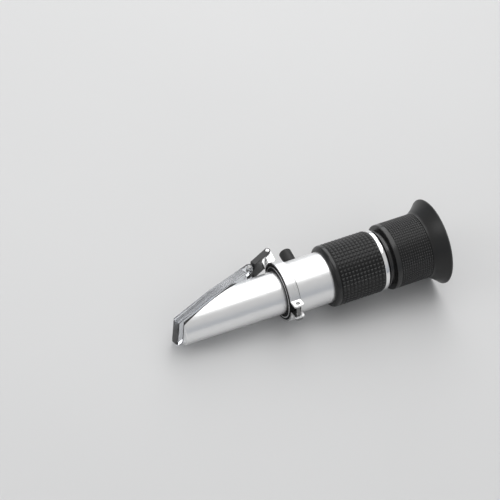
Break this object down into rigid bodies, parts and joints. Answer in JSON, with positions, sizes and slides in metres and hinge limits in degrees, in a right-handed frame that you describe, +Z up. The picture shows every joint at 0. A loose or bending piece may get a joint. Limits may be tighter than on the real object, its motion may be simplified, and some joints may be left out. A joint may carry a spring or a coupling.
{
  "type": "refractometer",
  "caption": "Handheld refractometer: slant-cut prism nose under a hinged clear daylight plate, gripped barrel, focusing eyepiece with a rubber eyecup.",
  "frame": {"origin": "on the surface that the instrument lies on, below the middle of its whole length and width", "axes": "+X along the barrel towards the eyecup, +Y the side that the prism and the daylight plate face, +Z up as the instrument lies on its side"},
  "size_m": [0.1409, 0.0448, 0.0436],
  "materials": {
    "satin_aluminium": "satin turned",
    "housing_aluminium": "satin",
    "prism_glass": "polished, bluish",
    "frame_black": "matt",
    "seal_rubber": "matt",
    "band_steel": "satin",
    "screw_steel": "bright",
    "brass": "turned",
    "cell_black": "matt black anodised",
    "lens_glass": "polished, coated",
    "scale_glass": "polished, with a scale",
    "grip_rubber": "studded",
    "chrome": "mirror",
    "neck_black": "gloss",
    "arm_black": "satin",
    "clear_plastic": "clear, polished",
    "cap_rubber": "matt",
    "focus_black": "knurled",
    "eyecup_rubber": "smooth matt"
  },
  "bodies": {
    "main": {"barrel_tube": "satin_aluminium", "prism_housing": "housing_aluminium", "prism": "prism_glass", "prism_frame": "frame_black", "front_seal": "seal_rubber", "band_liner": "seal_rubber", "hinge_band": "band_steel", "clamp_screw": "screw_steel", "arm_pin": "screw_steel", "calibration_bush": "brass", "objective_cell": "cell_black", "objective_lens": "lens_glass", "objective_retainer": "cell_black", "scale_holder": "cell_black", "scale_disc": "scale_glass", "rubber_grip": "grip_rubber", "chrome_ring": "chrome", "neck_tube": "neck_black"},
    "arm": {"hinge_arm": "arm_black", "plate_pin": "screw_steel"},
    "plate": {"daylight_plate": "clear_plastic"},
    "cap": {"screw_cap": "cap_rubber"},
    "calibration": {"calibration_screw": "brass"},
    "ocular": {"ocular_tube": "cell_black", "circlip": "screw_steel", "field_lens": "lens_glass", "eye_lens": "lens_glass", "field_lens_ring": "cell_black", "eye_lens_ring": "cell_black"},
    "focus": {"focus_ring": "focus_black", "eyecup": "eyecup_rubber"}
  },
  "joints": [
    {"name": "arm_hinge", "type": "hinge", "parent": "main", "child": "arm", "pos_m": [-0.01043, 0.02078, 0.0218], "axis": [0, 0, -1], "range_deg": [0, 120]},
    {"name": "plate_float", "type": "hinge", "parent": "arm", "child": "plate", "pos_m": [-0.02292, 0.01511, 0.0218], "axis": [0, 0, -1], "range_deg": [0, 20]},
    {"name": "focus_travel", "type": "slide", "parent": "main", "child": "ocular", "axis": [1, 0, 0], "range_m": [-0.0015, 0.0015]},
    {"name": "focus_turn", "type": "hinge", "parent": "ocular", "child": "focus", "pos_m": [0.03922, -0.00048, 0.0218], "axis": [1, 0, 0], "range_deg": [-135, 135]},
    {"name": "cap_pull", "type": "slide", "parent": "main", "child": "cap", "axis": [0, 1, 0], "range_m": [0, 0.01]},
    {"name": "calibration_turn", "type": "hinge", "parent": "main", "child": "calibration", "pos_m": [-0.00078, -0.00048, 0.0218], "axis": [0, 1, 0], "range_deg": [-180, 180]}
  ],
  "couplings": [
    {"joint": "focus_turn", "follows": "focus_travel", "rad_per_m": 1570.8}
  ]
}
